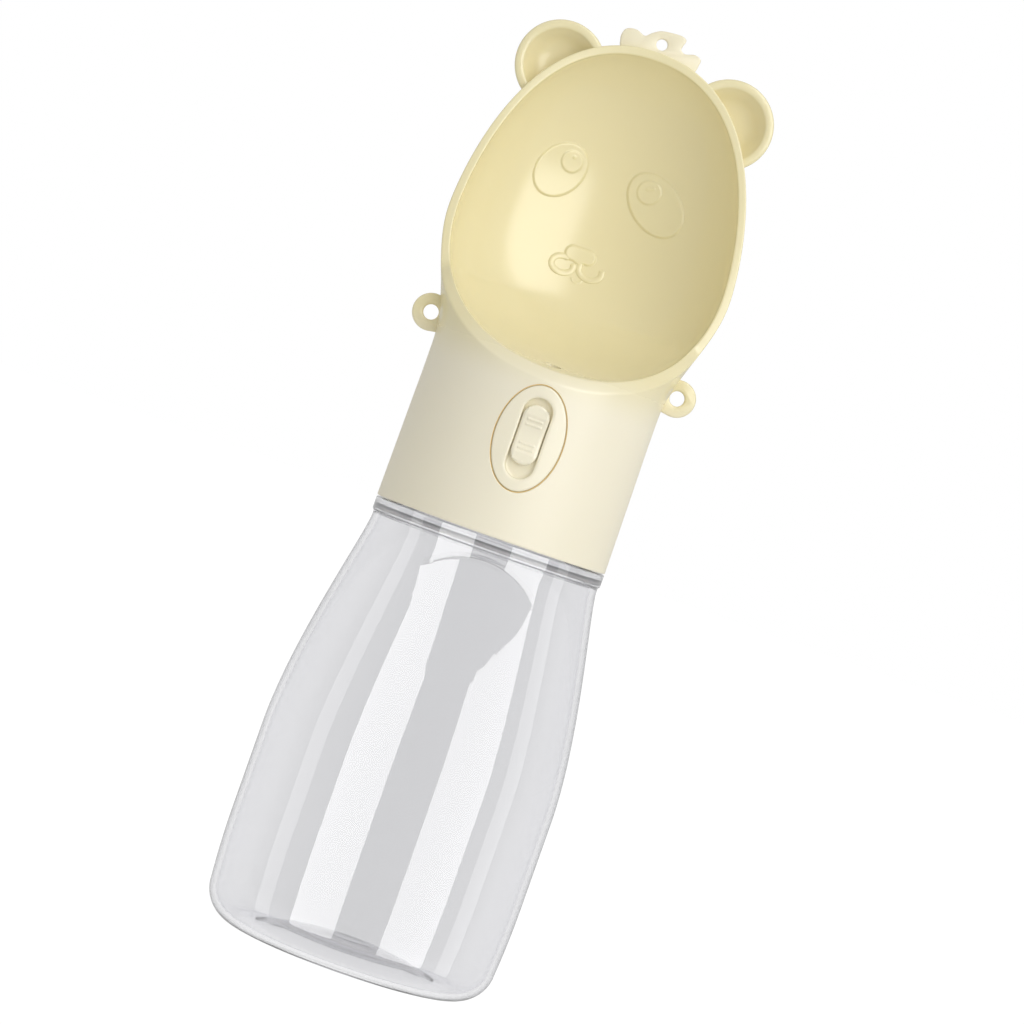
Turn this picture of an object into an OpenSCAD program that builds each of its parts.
// Dog travel water bottle: clear bottle, screw-on head with a scoop bowl, push-button valve and lock.
// Millimetres. +Z up the bottle's axis, origin at the centre of the base, bowl and button face -Y.

/* [Bottle] */
// Height of the bottle up to the seam under the head
bottle_h = 123; // [115:0.5:135]
// Largest radius of the bottle
belly_r = 41.8; // [40.5:0.1:44]
// Height where the belly starts to narrow towards the neck
belly_top_z = 54; // [46:0.5:58]
// Height of the lower end of the belly
belly_low_z = 29.5; // [26:0.5:34]
// Radius at the top of the base corner
base_r = 41; // [39.5:0.1:42]
// Radius of the base corner
base_corner = 10; // [7:0.5:12]
// Height of the push-up in the base
pushup_h = 4.4; // [1.5:0.1:5]
// Wall of the bottle
bottle_wall = 1.8; // [1.4:0.1:2.2]
// Height of the clear collar ring at the seam
collar_h = 3.8; // [3:0.1:5]
// Step from the collar ring in to the bottle's wall
collar_step = 0.5; // [0.3:0.1:0.8]
// Radius of the round recess on the front
recess_r = 21.2; // [18:0.1:22]
// Height of the recess's centre under the seam
recess_drop = 27.6; // [26:0.1:32]
// Depth of the recess
recess_depth = 2.4; // [2.1:0.1:2.6]

/* [Neck and thread] */
// Outer radius of the neck without its thread
neck_r = 26.6; // [26:0.1:27]
// Wall of the neck
neck_wall = 2; // [1.6:0.1:2.4]
// Height of the neck above the seam
neck_h = 8.2; // [8.2:0.1:8.4]
// Rise of the thread in one turn
thread_pitch = 3.2; // [3:0.1:3.4]
// How far each thread stands out
thread_depth = 1.3; // [1.1:0.1:1.4]
// Thickness of the neck gasket
gasket_t = 1.4; // [1:0.1:1.5]

/* [Sleeve] */
// Radius of the sleeve at the seam
sleeve_r = 33; // [32.9:0.1:33.4]
// Radius of the sleeve under the bowl
sleeve_top_r = 32.6; // [32.4:0.1:32.8]
// Wall of the sleeve and the bowl
shell_wall = 2.4; // [2.2:0.1:2.6]
// Gap at the seam between the bottle and the sleeve
seam_gap = 0.3; // [0.2:0.05:0.5]

/* [Bowl] */
// Height of the bowl's front lip above the seam
lip_rise = 44.3; // [44.2:0.1:46]
// Height of the bowl from its lip to the top of its rim
bowl_h = 96.2; // [90:0.1:100]
// Largest half width of the bowl
bowl_r = 40.8; // [39:0.1:41.5]
// Share of the bowl's height at which it is widest
bowl_wide_at = 0.382; // [0.36:0.001:0.41]
// Height of the rim's band at the lip
lip_band = 3.3; // [3:0.1:3.6]
// Lean of the rim's sides, as a share of the height
rim_lean = 0.16; // [0.12:0.01:0.2]
// Furthest back of the bowl
bowl_back = 33.4; // [33.2:0.1:35]

/* [Ears, tab and lugs] */
// Radius of an ear
ear_r = 12.6; // [11:0.1:13.5]
// Half distance between the ears' centres
ear_x = 24.6; // [23.5:0.1:25.5]
// Height of the ears' centres under the rim's top
ear_drop = 12.4; // [11:0.1:14]
// Depth of an ear
ear_depth = 7.5; // [6:0.1:8]
// Radius of the hang tab's hole
tab_hole_r = 1.6; // [1.3:0.05:1.8]
// Thickness of the hang tab
tab_t = 2.4; // [2:0.1:3]
// Radius of a strap lug's hole
lug_hole_r = 2.1; // [1.8:0.05:2.2]
// Ring width around a strap lug's hole
lug_ring = 3.1; // [2.6:0.1:3.4]
// Thickness of a strap lug
lug_t = 3; // [2.4:0.1:3.6]

/* [Button and lock] */
// Height of the button's centre above the seam
button_rise = 28.3; // [28.2:0.1:28.4]
// Half width of the button
button_a = 9.3; // [9:0.1:9.6]
// Half height of the button
button_b = 14.6; // [14.3:0.1:14.7]
// Gap around the button
button_gap = 0.35; // [0.3:0.05:0.4]
// Travel of the button
button_travel = 2.5; // [2:0.1:2.6]
// Length of the lock slider's slot
slot_l = 22.4; // [22:0.1:22.6]
// Width of the slot
slot_w = 7.9; // [7.6:0.1:8.1]
// Length of the lock slider
slider_l = 16.6; // [16.2:0.1:16.8]
// Rest height of the slider above the slot's centre
slider_rise = 0.95; // [0.6:0.05:1.2]
// Gap on each side of the lock slider
slider_gap = 0.3; // [0.25:0.05:0.4]

/* [Valve] */
// Radius of the valve housing
housing_r = 8.3; // [8.1:0.1:8.6]
// Radius of the plug's chamber
chamber_r = 6.4; // [6.2:0.1:6.6]
// Radius of the valve plug
plug_r = 5.4; // [5:0.1:5.6]
// Radius of the seat's opening
seat_r = 3.8; // [3.4:0.1:4]
// Radius of the stem in its gland
stem_r = 2.6; // [2.5:0.05:2.7]
// Distance from the axis forward to the outlet
outlet_y = 11.5; // [11:0.1:12]
// Radius of the outlet hole in the bowl
outlet_r = 2.75; // [2.4:0.05:3]
// Wire radius of the return spring
spring_wire = 0.45; // [0.35:0.05:0.5]
// Turns of the return spring
spring_turns = 5; // [4:1:6]

/* [Hidden] */

CREAM = [0.95, 0.92, 0.80];
INNER_CREAM = [0.90, 0.87, 0.76];
CLEAR = [0.80, 0.83, 0.87, 0.5];
SILICONE = [0.85, 0.85, 0.83];
STEEL = [0.72, 0.73, 0.75];
WHITE = [0.93, 0.93, 0.92];

$fn = 96;
eps = 0.01;
cut = 60;

// --- Curves ------------------------------------------------------------------------------------

// Point at t on the cubic curve with the four control points p
function bez(p, t) = pow(1 - t, 3) * p[0] + 3 * pow(1 - t, 2) * t * p[1]
    + 3 * (1 - t) * t * t * p[2] + pow(t, 3) * p[3];
function turned(f) = [for (k = [len(f) - 1 : -1 : 0]) f[k]];
function ease(t) = let (s = min(1, max(0, t))) s * s * (3 - 2 * s);

// --- Bottle ------------------------------------------------------------------------------------

collar_r = sleeve_r - 0.1;
wall_top_r = collar_r - collar_step;
wall_top_z = bottle_h - collar_h - 1;
foot_ring_r = base_r - base_corner;
foot_ring_w = 5;
neck_in_r = neck_r - neck_wall;
neck_top = bottle_h + neck_h;
shoulder_t = 2.4;
// How far the side's curve keeps the wall's direction, at the neck and at the belly
neck_pull = 6;
belly_pull = 25;
// Slope of the push-up, from its edge on the foot ring to its flat middle
pushup_slope_w = 6;
pushup_slope_at = 0.75;
recess_z = bottle_h - recess_drop;
// The recess's face is a wide cylinder that leans back: the bottle's radius there, the face's own
// radius and its lean
recess_front_r = 36.7;
recess_flat_r = 52.5;
recess_tilt = 14;

side_curve = [
    [wall_top_r, wall_top_z], [wall_top_r, wall_top_z - neck_pull],
    [belly_r, belly_top_z + belly_pull], [belly_r, belly_top_z]
];
corner_steps = 6;
side_steps = 14;

// Outline of the bottle's skin, moved inward by inset
function bottle_outline(inset) = concat(
    [[0, pushup_h + inset],
     [foot_ring_r - foot_ring_w - pushup_slope_w, pushup_h * pushup_slope_at + inset],
     [foot_ring_r - foot_ring_w, inset]],
    [for (i = [0 : corner_steps]) let (a = -90 + 90 * i / corner_steps)
        [foot_ring_r + (base_corner - inset) * cos(a),
         base_corner + (base_corner - inset) * sin(a)]],
    [[belly_r - inset, belly_low_z]],
    [for (i = [side_steps : -1 : 0]) bez(side_curve, i / side_steps) - [inset, 0]]
);

module recess_tool(grow) {
    intersection() {
        translate([0, 0, recess_z]) rotate([90, 0, 0]) cylinder(r = recess_r + grow * 0.6, h = cut);
        difference() {
            translate([-cut / 2, -cut, recess_z - cut / 2]) cube([cut, cut, cut]);
            translate([0, recess_flat_r - recess_front_r + recess_depth, recess_z])
                rotate([-recess_tilt, 0, 0]) cylinder(r = recess_flat_r - grow, h = 2 * cut, center = true);
        }
    }
}

module bottle_skin(inset, top) {
    rotate_extrude() polygon(concat(
        bottle_outline(inset),
        [[wall_top_r - inset, top], [0, top]]
    ));
}

// Closed helical ridge on a wall of radius root_r. It stands out by depth, inward if depth is negative
module ridge(root_r, depth, z0, from, to, root_w, crest_w) {
    flip = depth < 0;
    sink = flip ? ridge_sink : -ridge_sink;
    sunk_w = root_w + (root_w - crest_w) * abs(sink / depth);
    steps = ceil((to - from) / ridge_step);
    profile = [
        [root_r + sink, -sunk_w / 2], [root_r + depth, -crest_w / 2],
        [root_r + depth, crest_w / 2], [root_r + sink, sunk_w / 2]
    ];
    n = len(profile);
    points = [
        for (i = [0 : steps]) let (a = from + (to - from) * i / steps)
        for (p = profile) [p[0] * cos(a), p[0] * sin(a), z0 + p[1] + thread_pitch * a / 360]
    ];
    sides = [
        for (i = [0 : steps - 1]) for (j = [0 : n - 1])
        let (a = i * n + j, b = i * n + (j + 1) % n)
        for (f = [[a, b, a + n], [b, b + n, a + n]]) flip ? turned(f) : f
    ];
    low = [for (j = [n - 1 : -1 : 0]) j];
    high = [for (j = [0 : n - 1]) steps * n + j];
    polyhedron(points, concat(sides, [flip ? turned(low) : low, flip ? turned(high) : high]));
}

bottle_thread_z = bottle_h + 2.3;
bottle_thread_to = 430;
cap_thread_from = 70;
thread_offset = thread_pitch / 2 - 0.15;
thread_root_w = 1.6;
thread_crest_w = 0.9;
ridge_sink = 0.5;
ridge_step = 12;

module bottle() {
    color(CLEAR) {
        difference() {
            union() {
                bottle_skin(0, wall_top_z + 1);
                translate([0, 0, bottle_h - collar_h]) cylinder(r = collar_r, h = collar_h);
                cylinder(r = neck_r, h = neck_top);
            }
            difference() {
                bottle_skin(bottle_wall, bottle_h - shoulder_t);
                recess_tool(bottle_wall);
            }
            recess_tool(0);
            translate([0, 0, bottle_h - cut / 2]) cylinder(r = neck_in_r, h = cut);
        }
        ridge(neck_r, thread_depth, bottle_thread_z, 0, bottle_thread_to,
            thread_root_w, thread_crest_w);
    }
}

// --- Head shell --------------------------------------------------------------------------------

lip_z = bottle_h + lip_rise;
rim_top_z = lip_z + bowl_h;
wide_z = lip_z + bowl_h * bowl_wide_at;
flare_z = lip_z + 0.7;
lean_z = lip_z + 10.7;
scoop_base_z = lip_z - 7.3;
rim_scale = (bowl_r - shell_wall) / bowl_r;
rim_center_z = (lip_band + lip_z * (1 - rim_scale)) / (1 - rim_scale);
sleeve_in_r = sleeve_r - shell_wall - 0.2;
center_z = bottle_h + button_rise;

// How full the rim's outline is, as shares of its width and height: at the lip, below and above the
// widest place, and at the top
lip_round = 0.686;
low_round = 0.455;
high_round = 0.2;
top_round = 0.88;
// Rim's outline seen from the front: right half, from the lip's middle to the rim's top
rim_low = [
    [0, lip_z], [bowl_r * lip_round, lip_z],
    [bowl_r, lip_z + (wide_z - lip_z) * low_round], [bowl_r, wide_z]
];
rim_high = [
    [bowl_r, wide_z], [bowl_r, wide_z + (rim_top_z - wide_z) * high_round],
    [bowl_r * top_round, rim_top_z], [0, rim_top_z]
];
rows_half = 13;
rim_rows = 2 * rows_half;
function rim_xz(j) = j <= rows_half
    ? bez(rim_low, j / rows_half)
    : bez(rim_high, (j - rows_half) / rows_half);

// Half width of the body at height z
width_table = [for (j = [rows_half : rim_rows]) let (p = rim_xz(j)) [p[1], p[0]]];
function half_width(z) = z > wide_z
    ? lookup(z, width_table)
    : sleeve_top_r + (bowl_r - sleeve_top_r) * ease((z - flare_z) / (wide_z - flare_z));

// Middle of the body at height z: it leans back above the lip, at first gently
lean_ease = 12;
function mid_y(z) = z > lean_z ? rim_lean * pow(z - lean_z, 2) / (z - lean_z + lean_ease) : 0;

// Depth from the middle to the back at height z
back_at_wide = bowl_back - mid_y(wide_z);
back_round = 1.3;
function back_depth(z) = z > wide_z
    ? back_at_wide * pow(half_width(z) / bowl_r, back_round)
    : sleeve_top_r + (bowl_back - sleeve_top_r) * ease((z - flare_z) / (wide_z - flare_z)) - mid_y(z);
function front_depth(z) = sleeve_top_r + mid_y(z);

// Angle of the right rim edge on the body's section at row j, -90 at the lip and 0 at the sides
function rim_angle(j) = let (p = rim_xz(j)) -acos(min(1, p[0] / half_width(p[1])));

function section_point(z, a) = [
    half_width(z) * cos(a), mid_y(z) + (sin(a) < 0 ? front_depth(z) : back_depth(z)) * sin(a), z
];

around = 48;
base_rows = [scoop_base_z, lip_z - 3];
function row_z(r) = r < len(base_rows) ? base_rows[r] : rim_xz(r - len(base_rows))[1];
function row_from(r) = r <= len(base_rows) ? -90 : rim_angle(r - len(base_rows));
last_row = len(base_rows) + rim_rows;

outer_points = concat(
    [for (r = [0 : last_row - 1]) let (z = row_z(r), a0 = row_from(r))
        for (i = [0 : around]) section_point(z, a0 + (180 - 2 * a0) * i / around)],
    [[0, mid_y(rim_top_z), rim_top_z]]
);
function outer_index(r, i) = r == last_row
    ? last_row * (around + 1)
    : r * (around + 1) + (r <= len(base_rows) && i == around ? 0 : i);

// Inner edge of the rim at row j, side 1 right and -1 left, with the wall thinned by grow
function inner_scale(grow) = rim_scale + grow / bowl_r;
function inner_rim(j, side, grow) = let (
    p = rim_xz(j), o = section_point(p[1], rim_angle(j)), s = inner_scale(grow)
) [side * p[0] * s, mid_y(p[1]) + (o[1] - mid_y(p[1])) * (1 - shell_wall / sleeve_top_r),
   rim_center_z + (p[1] - rim_center_z) * s];

// Bowl's middle profile, as depth y and height z: the floor, then the back wall up to the rim
bowl_in_low = inner_rim(0, 1, 0);
bowl_in_top = inner_rim(rim_rows, 1, 0);
// Heights on the back wall as shares of the bowl's height: its deepest place, how far the floor's
// curve and the wall's curve reach from there, and the roll-in under the rim's top
deepest_at = 0.554;
floor_reach = 0.46;
wall_reach = 0.21;
top_roll_at = 0.067;
top_roll_y = 6.5;
floor_rise = 0.6;
wall_back_y = bowl_back - shell_wall - 0.5;
wall_back_z = lip_z + bowl_h * deepest_at;
floor_curve = [
    [bowl_in_low[1], bowl_in_low[2]], [0, bowl_in_low[2] + floor_rise],
    [wall_back_y, wall_back_z - bowl_h * floor_reach], [wall_back_y, wall_back_z]
];
wall_curve = [
    [wall_back_y, wall_back_z], [wall_back_y, wall_back_z + bowl_h * wall_reach],
    [wall_back_y - top_roll_y, rim_top_z - bowl_h * top_roll_at], [bowl_in_top[1], bowl_in_top[2]]
];
curve_steps = 20;
profile_table = concat(
    [for (i = [0 : curve_steps]) let (p = bez(floor_curve, i / curve_steps)) [p[1], p[0]]],
    [for (i = [1 : curve_steps]) let (p = bez(wall_curve, i / curve_steps)) [p[1], p[0]]]
);

// The bowl's inner surface, as the depth at a point seen from the front
function inner_width_table(grow) = [
    for (j = [0 : rim_rows]) let (p = inner_rim(j, 1, grow)) [p[2], p[0]]
];
function inner_edge_table(grow) = [
    for (j = [0 : rim_rows]) let (p = inner_rim(j, 1, grow)) [p[2], p[1]]
];
function inner_depth(x, z, widths, edges, grow) = let (
    w = max(0.01, lookup(z, widths)), e = lookup(z, edges),
    s = inner_scale(grow), z0 = rim_center_z + (z - rim_center_z) * rim_scale / s
) e + (lookup(z0, profile_table) + grow - e) * sqrt(max(0, 1 - pow(x / w, 2)));

rings = 10;
// The inner skin's rings close round a pole at this share of the bowl's height
pole_at = 0.473;
pole_z = lip_z + bowl_h * pole_at;
loop_n = 2 * rim_rows;
function loop_rim(i, grow) = i <= rim_rows ? inner_rim(i, 1, grow) : inner_rim(loop_n - i, -1, grow);
function inner_points(grow) = let (
    widths = inner_width_table(grow), edges = inner_edge_table(grow)
) concat(
    [for (i = [0 : loop_n - 1]) loop_rim(i, grow)],
    [for (k = [1 : rings - 1]) let (s = cos(90 * k / rings))
        for (i = [0 : loop_n - 1])
        let (p = loop_rim(i, grow), x = p[0] * s, z = pole_z + (p[2] - pole_z) * s)
        [x, inner_depth(x, z, widths, edges, grow), z]],
    [[0, inner_depth(0, pole_z, widths, edges, grow), pole_z]]
);

// Solid of the scoop with its bowl: outer skin, rim band, inner skin and a flat bottom
module scoop() {
    first_inner = len(outer_points);
    function inner_index(k, i) = first_inner
        + (k == rings ? rings * loop_n : k * loop_n + i % loop_n);
    function rim_index(i) = let (m = i % loop_n) m <= rim_rows
        ? outer_index(len(base_rows) + m, 0)
        : outer_index(len(base_rows) + loop_n - m, around);
    outer_faces = [
        for (r = [0 : last_row - 1]) for (i = [0 : around - 1])
        let (a = outer_index(r, i), b = outer_index(r, i + 1),
             c = outer_index(r + 1, i), d = outer_index(r + 1, i + 1))
        for (f = [[a, c, b], [b, c, d]]) if (f[0] != f[1] && f[1] != f[2] && f[2] != f[0]) f
    ];
    band_faces = [
        for (i = [0 : loop_n - 1])
        let (a = rim_index(i), b = rim_index(i + 1), c = inner_index(0, i), d = inner_index(0, i + 1))
        for (f = [[a, c, b], [b, c, d]]) f
    ];
    inner_faces = [
        for (k = [0 : rings - 1]) for (i = [0 : loop_n - 1])
        let (a = inner_index(k, i), b = inner_index(k, i + 1),
             c = inner_index(k + 1, i), d = inner_index(k + 1, i + 1))
        for (f = [[a, c, b], [b, c, d]]) if (f[0] != f[1] && f[1] != f[2] && f[2] != f[0]) f
    ];
    bottom = [for (i = [0 : around - 1]) outer_index(0, i)];
    polyhedron(concat(outer_points, inner_points(0)),
        concat(outer_faces, band_faces, inner_faces, [bottom]), convexity = 8);
}

// The bowl's hollow as a solid, open to the front, cut into the wall by grow
module bowl_hollow(grow) {
    skin = inner_points(grow);
    front = [for (i = [0 : loop_n - 1]) [skin[i][0], -cut, skin[i][2]]];
    n = len(skin);
    function skin_index(k, i) = k == rings ? rings * loop_n : k * loop_n + i % loop_n;
    skin_faces = [
        for (k = [0 : rings - 1]) for (i = [0 : loop_n - 1])
        let (a = skin_index(k, i), b = skin_index(k, i + 1),
             c = skin_index(k + 1, i), d = skin_index(k + 1, i + 1))
        for (f = [[a, b, c], [b, d, c]]) if (f[0] != f[1] && f[1] != f[2] && f[2] != f[0]) f
    ];
    side_faces = [
        for (i = [0 : loop_n - 1])
        let (a = n + i, b = n + (i + 1) % loop_n, c = i, d = (i + 1) % loop_n)
        for (f = [[a, b, c], [b, d, c]]) f
    ];
    polyhedron(concat(skin, front), concat(skin_faces, side_faces,
        [[for (i = [loop_n - 1 : -1 : 0]) n + i]]), convexity = 8);
}

// How far the ears and the tab lie behind the rim's middle plane, and the tab's hole above the rim
ear_set_back = 1.5;
tab_set_back = 1.2;
tab_rise = 2.3;
ear_z = rim_top_z - ear_drop;
ear_y = mid_y(ear_z) + ear_set_back;
tab_y = mid_y(rim_top_z) + tab_set_back;
tab_z = rim_top_z + tab_rise;
// The lugs' holes stand clear of the sleeve and of the flare above it
lug_clearance = 0.9;
lug_rise = 7.7;
lug_x = sleeve_top_r + lug_hole_r + lug_clearance;
lug_z = lip_z + lug_rise;
lug_r = lug_hole_r + lug_ring;
ear_rim_w = 2.2;
ear_floor_t = 2.4;

// Cup-shaped ear that opens forward; its axis is Y
module ear(side) {
    floor_y = ear_depth - ear_floor_t;
    inner_r = ear_r - ear_rim_w;
    translate([side * ear_x, ear_y, ear_z]) rotate([-90, 0, 0]) rotate_extrude() polygon([
        [0, floor_y], [ear_r / 2, floor_y - 0.6], [inner_r - 1.4, floor_y - 3],
        [inner_r - 0.4, 0.8], [inner_r, 0], [ear_r - 0.3, 0], [ear_r, 0.4],
        [ear_r - 0.2, ear_depth - 4.6], [ear_r - 3, ear_depth - 1.4], [0, ear_depth]
    ]);
}

// Flat leaf with three lobes behind the rim's top
module tab_shape() {
    difference() {
        union() {
            hull() {
                translate([-9.8, -0.4]) circle(r = 1.7, $fn = 32);
                translate([-5, -1.2]) circle(r = 2.2, $fn = 32);
                translate([-4, -6]) circle(r = 2.2, $fn = 32);
            }
            hull() {
                translate([-1.8, 0.6]) circle(r = 2.9, $fn = 32);
                translate([4.6, 3.1]) circle(r = 0.8, $fn = 32);
                translate([1.5, 1.4]) circle(r = 2.5, $fn = 32);
                translate([0, -5]) circle(r = 4, $fn = 32);
            }
            hull() {
                translate([10.2, -0.9]) circle(r = 1.6, $fn = 32);
                translate([6, -2.2]) circle(r = 2, $fn = 32);
                translate([4, -6]) circle(r = 2.2, $fn = 32);
            }
        }
        circle(r = tab_hole_r);
    }
}

module tab() {
    translate([0, tab_y + tab_t, tab_z]) rotate([90, 0, 0]) linear_extrude(tab_t) tab_shape();
}

module lug(side) {
    translate([side * lug_x, lug_t / 2, lug_z]) rotate([90, 0, 0]) linear_extrude(lug_t) difference() {
        union() {
            circle(r = lug_r);
            translate([side > 0 ? -lug_r + 0.4 : 0, -lug_r]) square([lug_r - 0.4, 2 * lug_r]);
        }
        circle(r = lug_hole_r);
    }
}

module ellipse_bar(a, b, y0, y1) {
    translate([0, y1, center_z]) rotate([90, 0, 0]) linear_extrude(y1 - y0) scale([a, b]) circle(r = 1);
}

// Room for the valve under the bowl's floor: its roof follows the floor at one wall's distance
roof_steps = 8;
roof_end = 0.85;
function roof_point(t) = let (
    p = bez(floor_curve, t), q = bez(floor_curve, t + 0.01), d = (q - p) / norm(q - p)
) p + shell_wall * [d[1], -d[0]];
module valve_room() {
    intersection() {
        translate([0, 0, bottle_h - 1]) cylinder(r = sleeve_in_r, h = bowl_h);
        translate([-cut, 0, 0]) rotate([90, 0, 90]) linear_extrude(2 * cut) polygon(concat(
            [[-cut, 0], [-cut, roof_point(0)[1]]],
            [for (i = [0 : roof_steps]) roof_point(roof_end * i / roof_steps)],
            [[cut, roof_point(roof_end)[1] + 4], [cut, 0]]
        ));
    }
}

deck_z = neck_top + gasket_t;
deck_t = 2;
deck_top = deck_z + deck_t;
snap_z = bottle_h + 4;
snap_h = 1.6;
snap_d = 0.5;
key_n = 4;
key_w = 2;
key_z = deck_top - 4;
fit_gap = 0.15;

collar_wall = 1.2;
collar_in_y = -25.5;
socket_r = 6.6;
socket_l = 6.5;
grommet_r = 5.1;
grommet_l = 4;
outlet_floor_z = lookup(-outlet_y, [for (p = profile_table) [p[1], p[0]]]);
socket_top = outlet_floor_z - shell_wall + 0.5;
socket_low = socket_top - socket_l;
grommet_top = outlet_floor_z - shell_wall - 1.4;

module head_shell() {
    color(CREAM) difference() {
        union() {
            difference() {
                union() {
                    translate([0, 0, bottle_h + seam_gap])
                        cylinder(r1 = sleeve_r, r2 = sleeve_top_r + 0.05,
                            h = scoop_base_z + 1.5 - bottle_h - seam_gap);
                    scoop();
                    difference() {
                        union() {
                            ear(1);
                            ear(-1);
                            tab();
                        }
                        bowl_hollow(shell_wall / 2);
                    }
                    lug(1);
                    lug(-1);
                }
                valve_room();
                translate([0, 0, snap_z - fit_gap])
                    cylinder(r = sleeve_in_r + snap_d + fit_gap, h = snap_h + 2 * fit_gap);
            }
            intersection() {
                ellipse_bar(button_a + button_gap + collar_wall, button_b + button_gap + collar_wall,
                    -sleeve_top_r + 1, collar_in_y);
                translate([0, 0, bottle_h]) cylinder(r = sleeve_top_r - 0.6, h = lip_rise + 1);
            }
            translate([0, -outlet_y, socket_low]) cylinder(r = socket_r, h = socket_top - socket_low);
            for (i = [0 : key_n - 1]) rotate(45 + i * 360 / key_n)
                translate([sleeve_in_r - 1, -key_w / 2, key_z]) cube([2, key_w, deck_top - key_z]);
        }
        ellipse_bar(button_a + button_gap, button_b + button_gap, -cut, collar_in_y + 1);
        translate([0, -outlet_y, socket_low - 1])
            cylinder(r = grommet_r + 0.05, h = grommet_top + 1 - socket_low);
        translate([0, -outlet_y, socket_low]) cylinder(r = outlet_r, h = 12);
    }
}

// --- Cap, gasket and valve ---------------------------------------------------------------------

cap_r = sleeve_in_r - 0.2;
cap_in_r = neck_r + 2;
cap_low_z = bottle_h + seam_gap + 0.2;
inlet_y = 5;
inlet_r = 3.8;
inlet_wall = 2;
flange_t = 2.2;
flange_z = deck_top;
screw_x = 11;
screw_ys = [-11, 4];
screw_r = 1.1;
screw_head_r = 2.2;
screw_head_h = 1.4;
screw_l = 7;
boss_r = 2.6;
seal_wire = 0.8;
inlet_seal_r = inlet_r + inlet_wall + 1.4;

module at_housing_screws() {
    for (x = [-screw_x, screw_x]) for (y = screw_ys) translate([x, y, 0]) children();
}

module neck_gasket() {
    color(SILICONE) translate([0, 0, neck_top]) difference() {
        cylinder(r = cap_in_r - 0.4, h = gasket_t);
        translate([0, 0, -1]) cylinder(r = neck_in_r - 0.8, h = gasket_t + 2);
    }
}

module inner_cap() {
    color(WHITE) {
        difference() {
            union() {
                translate([0, 0, cap_low_z]) cylinder(r = cap_r, h = deck_top - cap_low_z);
                translate([0, 0, snap_z]) cylinder(r1 = cap_r + snap_d, r2 = cap_r, h = snap_h);
            }
            translate([0, 0, cap_low_z - 1]) cylinder(r = cap_in_r, h = deck_z - cap_low_z + 1);
            translate([0, inlet_y, deck_z - 1]) cylinder(r = inlet_r, h = deck_t + 2);
            at_housing_screws() translate([0, 0, deck_z - 1]) cylinder(r = screw_r, h = deck_t + 2);
            for (i = [0 : key_n - 1]) rotate(45 + i * 360 / key_n)
                translate([sleeve_in_r - 1 - fit_gap, -key_w / 2 - fit_gap, key_z - fit_gap])
                    cube([4, key_w + 2 * fit_gap, deck_top]);
        }
        at_housing_screws() difference() {
            translate([0, 0, deck_z - screw_l]) cylinder(r = boss_r, h = screw_l);
            translate([0, 0, deck_top + flange_t - screw_l - 0.2]) cylinder(r = screw_r, h = screw_l);
        }
        ridge(cap_in_r, -thread_depth, bottle_thread_z - thread_offset, cap_thread_from,
            bottle_thread_to, thread_root_w, thread_crest_w);
    }
}

// Places along the valve's axis, from the front to the rear. The button's travel sets the gland's place
cover_y = -25.3;
cover_t = 1.5;
cover_boss_l = 1.5;
press_clearance = 0.5;
gland_wall = 1.2;
gland_y = cover_y + cover_t + cover_boss_l + button_travel + press_clearance + gland_wall;
seal_l = 4.4;
chamber_y = -7.5;
seat_y = -5.5;
rear_y = 14;
gland_l = 2.5;
gland_r = 7.2;
seal_bore_r = stem_r + 0.9;
outlet_bore_r = 4.6;
port_r = 2.1;
spigot_r = 4;
plug_t = 3;
plug_gap = 0.05;
plug_hole_r = 1.8;
plug_head_r = 2;
plug_head_h = 1.4;
washer_t = 0.8;
rear_cap_t = 2;
rear_plug_l = 3;
pin_r = 3;
ear_screw_x = 10.6;
ear_screw_r = 1;
rear_ear_r = 2.8;
rear_ear_l = 6;
ear_bar_h = 4;
rear_head_r = 1.9;
rear_head_h = 1.2;
// The housing's foot plate reaches past its screws, and further at the back to carry the inlet
plate_margin = 3;
plate_back = 8;
rib_w = 4;
rib_d = 5;

module along_y(y0, y1, r) {
    translate([0, y0, center_z]) rotate([-90, 0, 0]) cylinder(r = r, h = y1 - y0);
}
module ring_y(y, mid_r, wire_r) {
    translate([0, y, center_z]) rotate([-90, 0, 0]) rotate_extrude()
        translate([mid_r, 0]) circle(r = wire_r, $fn = 32);
}
module at_rear_screws() {
    for (x = [-ear_screw_x, ear_screw_x]) translate([x, 0, 0]) children();
}

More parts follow.
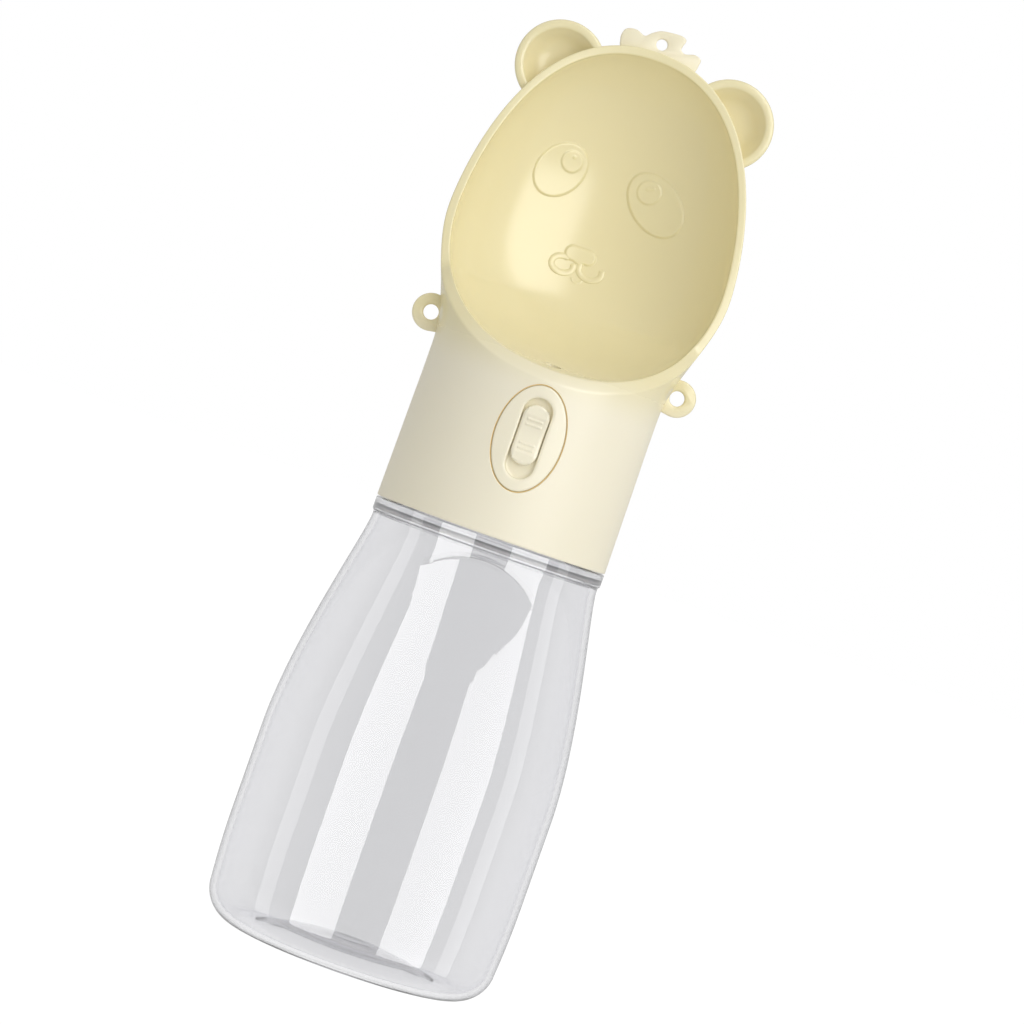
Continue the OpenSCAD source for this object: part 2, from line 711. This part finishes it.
module valve_housing() {
    color(WHITE) difference() {
        union() {
            along_y(gland_y, rear_y, gland_r);
            along_y(gland_y + gland_l, rear_y, housing_r);
            translate([-screw_x - plate_margin, screw_ys[0] - plate_margin, flange_z])
                cube([2 * (screw_x + plate_margin),
                    screw_ys[1] - screw_ys[0] + plate_margin + plate_back, flange_t]);
            translate([0, inlet_y, flange_z])
                cylinder(r = inlet_r + inlet_wall, h = center_z - flange_z);
            translate([-rib_w / 2, screw_ys[0] - rib_w / 2, flange_z])
                cube([rib_w, rib_d, center_z - flange_z - gland_r + 1]);
            translate([0, -outlet_y, center_z])
                cylinder(r = spigot_r, h = grommet_top - 0.1 - center_z);
            at_rear_screws() along_y(rear_y - rear_ear_l, rear_y, rear_ear_r);
            translate([-ear_screw_x, rear_y - rear_ear_l, center_z - ear_bar_h / 2])
                cube([2 * ear_screw_x, rear_ear_l, ear_bar_h]);
        }
        along_y(gland_y - 1, gland_y + seal_l, seal_bore_r);
        along_y(gland_y + seal_l - eps, chamber_y, outlet_bore_r);
        along_y(chamber_y - 1, seat_y + 1, seat_r);
        along_y(seat_y, rear_y + 1, chamber_r);
        translate([0, -outlet_y, center_z]) cylinder(r = port_r, h = cut);
        translate([0, inlet_y, flange_z - 1]) cylinder(r = inlet_r, h = center_z - flange_z);
        at_housing_screws() translate([0, 0, flange_z - 1]) cylinder(r = screw_r, h = flange_t + 2);
        at_rear_screws() along_y(rear_y - rear_ear_l + 0.5, rear_y + 1, ear_screw_r);
        translate([0, inlet_y, flange_z - 1]) difference() {
            cylinder(r = inlet_seal_r + seal_wire + 0.1, h = 2 * seal_wire + 1.05);
            translate([0, 0, -1]) cylinder(r = inlet_seal_r - seal_wire - 0.1, h = 5);
        }
    }
}

module inlet_seal() {
    color(SILICONE) translate([0, inlet_y, flange_z + seal_wire]) rotate_extrude()
        translate([inlet_seal_r, 0]) circle(r = seal_wire, $fn = 32);
}

module housing_screws() {
    color(STEEL) at_housing_screws() {
        translate([0, 0, flange_z + flange_t]) cylinder(r = screw_head_r, h = screw_head_h);
        translate([0, 0, flange_z + flange_t - screw_l])
            cylinder(r = screw_r - 0.02, h = screw_l + eps);
    }
}

module gland_cap() {
    color(WHITE) difference() {
        along_y(gland_y - gland_wall, gland_y + gland_l, housing_r);
        along_y(gland_y, gland_y + gland_l + 1, gland_r + 0.03);
        along_y(gland_y - gland_wall - 1, gland_y + 1, stem_r + 0.1);
    }
}

module outlet_grommet() {
    color(SILICONE) translate([0, -outlet_y, grommet_top - grommet_l]) difference() {
        cylinder(r = grommet_r, h = grommet_l);
        translate([0, 0, -1]) cylinder(r = spigot_r + 0.03, h = grommet_l + 2);
    }
}

rear_seal_y = rear_y - rear_plug_l / 2;
module rear_cap() {
    color(WHITE) difference() {
        union() {
            along_y(rear_y, rear_y + rear_cap_t, housing_r);
            along_y(rear_y - rear_plug_l, rear_y + eps, chamber_r - 0.05);
            along_y(rear_y - rear_plug_l - 3, rear_y, pin_r);
            at_rear_screws() along_y(rear_y, rear_y + rear_cap_t, rear_ear_r);
            translate([-ear_screw_x, rear_y, center_z - ear_bar_h / 2])
                cube([2 * ear_screw_x, rear_cap_t, ear_bar_h]);
        }
        at_rear_screws() along_y(rear_y - 1, rear_y + rear_cap_t + 1, ear_screw_r);
        difference() {
            along_y(rear_seal_y - seal_wire - 0.1, rear_seal_y + seal_wire + 0.1, chamber_r + 1);
            along_y(rear_seal_y - 2, rear_seal_y + 2, chamber_r - 2 * seal_wire - 0.05);
        }
    }
}

module rear_cap_seal() {
    color(SILICONE) ring_y(rear_seal_y, chamber_r - seal_wire - 0.02, seal_wire);
}

module rear_cap_screws() {
    color(STEEL) at_rear_screws() {
        along_y(rear_y + rear_cap_t, rear_y + rear_cap_t + rear_head_h, rear_head_r);
        along_y(rear_y - rear_ear_l + 1.5, rear_y + rear_cap_t + eps, ear_screw_r - 0.02);
    }
}

// --- Button, stem and plug ---------------------------------------------------------------------

button_back_y = -29;
skirt_wall = 1.2;
recess_floor_y = -30.7;
neck_w = 3.6;
neck_l = 6;
knob_gap = 0.15;
lock_down = slot_l / 2 - slider_l / 2 + slider_rise - 0.3;
lock_up = slot_l / 2 - slider_l / 2 - slider_rise - 0.3;
button_screw_z = 11;
small_screw_r = 0.8;
small_head_r = 1.7;
small_head_h = 1;
screw_post_r = 1.9;

// The sleeve's own taper, carried on to the button's face
module sleeve_cone(h) {
    slope = (sleeve_top_r - sleeve_r) / (scoop_base_z - bottle_h);
    translate([0, 0, bottle_h]) cylinder(r1 = sleeve_r, r2 = sleeve_r + slope * h, h = h);
}

// Bar along Y with round ends, length l in Z and width w in X
module obround(l, w, y0, y1, z) {
    for (s = [-1, 1]) translate([0, y0, z + s * (l - w) / 2]) rotate([-90, 0, 0])
        cylinder(r = w / 2, h = y1 - y0);
    translate([-w / 2, y0, z - (l - w) / 2]) cube([w, y1 - y0, l - w]);
}
module at_button_screws() {
    for (s = [-1, 1]) translate([0, 0, s * button_screw_z]) children();
}

module water_button() {
    color(CREAM) difference() {
        union() {
            intersection() {
                ellipse_bar(button_a, button_b, -cut, button_back_y);
                sleeve_cone(cut);
            }
            difference() {
                ellipse_bar(button_a, button_b, button_back_y - eps, cover_y + cover_t);
                ellipse_bar(button_a - skirt_wall, button_b - skirt_wall, button_back_y - 1, 0);
            }
            at_button_screws() along_y(button_back_y - eps, cover_y, screw_post_r);
        }
        obround(slot_l, slot_w, -cut, recess_floor_y, center_z);
        obround(neck_l + lock_down + lock_up + 0.6, neck_w + 0.6, recess_floor_y - 1, 0,
            center_z + slider_rise + (lock_up - lock_down) / 2);
        at_button_screws() along_y(button_back_y + 0.6, 0, small_screw_r);
    }
}

module button_back() {
    color(INNER_CREAM) difference() {
        union() {
            ellipse_bar(button_a - skirt_wall - 0.1, button_b - skirt_wall - 0.1,
                cover_y, cover_y + cover_t);
            along_y(cover_y, cover_y + cover_t + cover_boss_l, stem_r + 1.6);
        }
        along_y(cover_y - 1, 0, stem_r + 0.02);
        at_button_screws() along_y(cover_y - 1, 0, small_screw_r);
    }
}

module button_screws() {
    color(STEEL) at_button_screws() {
        along_y(cover_y + cover_t, cover_y + cover_t + small_head_h, small_head_r);
        along_y(button_back_y + 1.2, cover_y + cover_t + eps, small_screw_r - 0.02);
    }
}

stem_seal_y = gland_y + 0.9;
plug_y = seat_y + plug_gap;
module valve_stem() {
    color(STEEL) difference() {
        union() {
            along_y(cover_y + 0.1, plug_y, stem_r);
            along_y(plug_y - 1, plug_y + plug_t, plug_hole_r);
        }
        difference() {
            along_y(stem_seal_y - seal_wire - 0.05, stem_seal_y + seal_wire + 0.05, stem_r + 1);
            along_y(stem_seal_y - 2, stem_seal_y + 2, seal_bore_r - 2 * seal_wire - 0.08);
        }
        along_y(plug_y - 2, plug_y + plug_t + 1, small_screw_r + 0.1);
    }
}

module stem_seal() {
    color(SILICONE) ring_y(stem_seal_y, seal_bore_r - seal_wire - 0.05, seal_wire);
}

module valve_plug() {
    color(SILICONE) difference() {
        along_y(plug_y, plug_y + plug_t, plug_r);
        along_y(plug_y - 1, plug_y + plug_t + 1, plug_hole_r + 0.02);
    }
}

module plug_washer() {
    color(STEEL) difference() {
        along_y(plug_y + plug_t, plug_y + plug_t + washer_t, plug_r - 0.2);
        along_y(plug_y, plug_y + plug_t + washer_t + 1, small_screw_r + 0.1);
    }
}

module plug_screw() {
    color(STEEL) {
        along_y(plug_y + plug_t + washer_t, plug_y + plug_t + washer_t + plug_head_h, plug_head_r);
        along_y(plug_y - 1.8, plug_y + plug_t + washer_t + eps, small_screw_r + 0.08);
    }
}

spring_y0 = plug_y + plug_t + washer_t + spring_wire + 0.02;
spring_y1 = rear_y - rear_plug_l - spring_wire - 0.02;
spring_r = plug_r - 0.2 - spring_wire - 0.5;
module return_spring() {
    sides = 6;
    per_turn = 16;
    steps = spring_turns * per_turn;
    points = [
        for (i = [0 : steps])
        let (a = 360 * i / per_turn, y = spring_y0 + (spring_y1 - spring_y0) * i / steps)
        for (j = [0 : sides - 1]) let (b = 360 * j / sides, r = spring_r + spring_wire * cos(b))
        [r * cos(a), y + spring_wire * sin(b), center_z + r * sin(a)]
    ];
    skin = [
        for (i = [0 : steps - 1]) for (j = [0 : sides - 1])
        let (a = i * sides + j, b = i * sides + (j + 1) % sides)
        for (f = [[a, a + sides, b], [b, a + sides, b + sides]]) f
    ];
    color(STEEL) polyhedron(points, concat(skin, [
        [for (j = [0 : sides - 1]) j], [for (j = [sides - 1 : -1 : 0]) steps * sides + j]
    ]));
}

// --- Lock --------------------------------------------------------------------------------------

lock_z = center_z + slider_rise;
knob_front_y = -sleeve_top_r - 0.7;
knob_base_y = recess_floor_y - knob_gap;
saddle_r = 14;
saddle_depth = 1;
rib_zs = [2.6, 4];
rib_r = 0.35;
tongue_y = button_back_y + 0.2;
tongue_t = 1.2;
tongue_w = 9;

module lock_slider() {
    color(CREAM) {
        difference() {
            obround(slider_l, slot_w - 2 * slider_gap, knob_front_y, knob_base_y, lock_z);
            translate([-slot_w, knob_front_y - saddle_r + saddle_depth, lock_z]) rotate([0, 90, 0])
                cylinder(r = saddle_r, h = 2 * slot_w);
            lock_screw_hole();
        }
        difference() {
            obround(neck_l, neck_w, knob_base_y - eps, tongue_y, lock_z);
            lock_screw_hole();
        }
        for (s = [-1, 1]) for (z = rib_zs) let (
            y = knob_front_y - saddle_r + saddle_depth + sqrt(pow(saddle_r, 2) - pow(z, 2)))
            translate([-slot_w / 4, y, lock_z + s * z]) rotate([0, 90, 0])
                cylinder(r = rib_r, h = slot_w / 2, $fn = 24);
    }
}

// Hole of the lock's screw
module lock_screw_hole() {
    translate([0, knob_base_y - 0.6, lock_z]) rotate([-90, 0, 0]) cylinder(r = small_screw_r, h = 5);
}

module lock_tongue() {
    color(INNER_CREAM) difference() {
        translate([-tongue_w / 2, tongue_y, lock_z - tongue_w / 2])
            cube([tongue_w, tongue_t, tongue_w]);
        translate([0, tongue_y - 1, lock_z]) rotate([-90, 0, 0]) cylinder(r = small_screw_r, h = 4);
    }
}

module lock_screw() {
    color(STEEL) translate([0, 0, lock_z - center_z]) {
        along_y(tongue_y + tongue_t, tongue_y + tongue_t + small_head_h, small_head_r);
        along_y(knob_base_y - 0.5, tongue_y + tongue_t + eps, small_screw_r - 0.02);
    }
}

bottle();
neck_gasket();
head_shell();
inner_cap();
valve_housing();
inlet_seal();
housing_screws();
gland_cap();
outlet_grommet();
rear_cap();
rear_cap_seal();
rear_cap_screws();
water_button();
button_back();
button_screws();
valve_stem();
stem_seal();
valve_plug();
plug_washer();
plug_screw();
return_spring();
lock_slider();
lock_tongue();
lock_screw();
